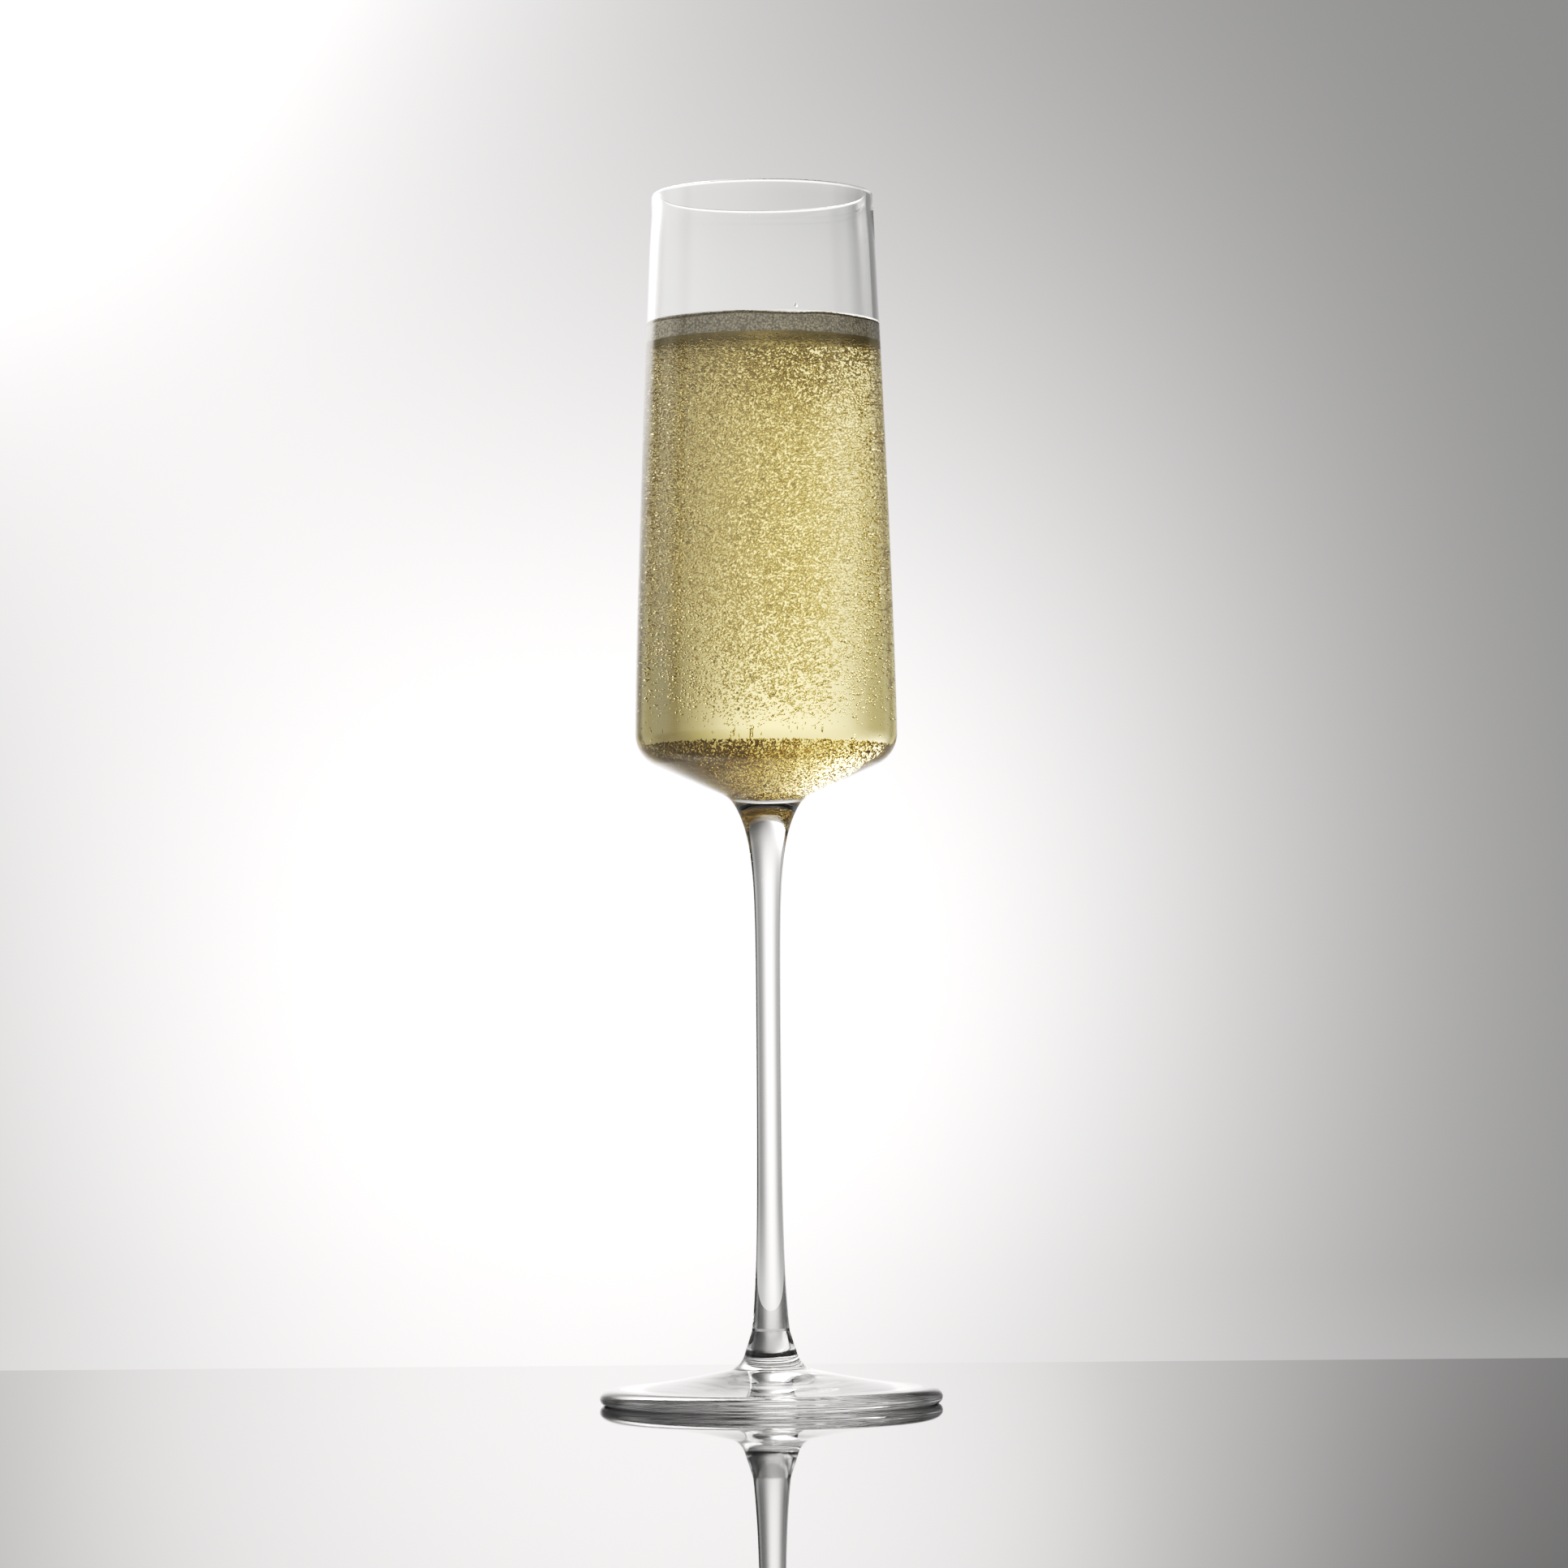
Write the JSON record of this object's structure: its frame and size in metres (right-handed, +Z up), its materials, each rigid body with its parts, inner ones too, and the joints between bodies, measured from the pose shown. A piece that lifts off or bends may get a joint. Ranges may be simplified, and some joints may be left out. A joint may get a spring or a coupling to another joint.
{
  "type": "champagne flute",
  "caption": "Tall stemmed sparkling-wine glass with a tapered bowl on a shallow conical floor, drawn stem and flared foot, shown filled and topped with fine foam.",
  "frame": {"origin": "centre of the circle on which the foot stands, at table height", "axes": "+Z up along the stem, which is the axis of revolution; X and Y lie in the table"},
  "size_m": [0.0706, 0.0706, 0.25],
  "materials": {
    "bowl_glass": "polished",
    "stem_glass": "polished",
    "foot_glass": "polished",
    "champagne": "polished",
    "foam": "matte",
    "bubbles": "polished"
  },
  "bodies": {
    "root": {"bowl": "bowl_glass", "stem": "stem_glass", "foot": "foot_glass", "champagne": "champagne", "foam": "foam"}
  },
  "joints": []
}
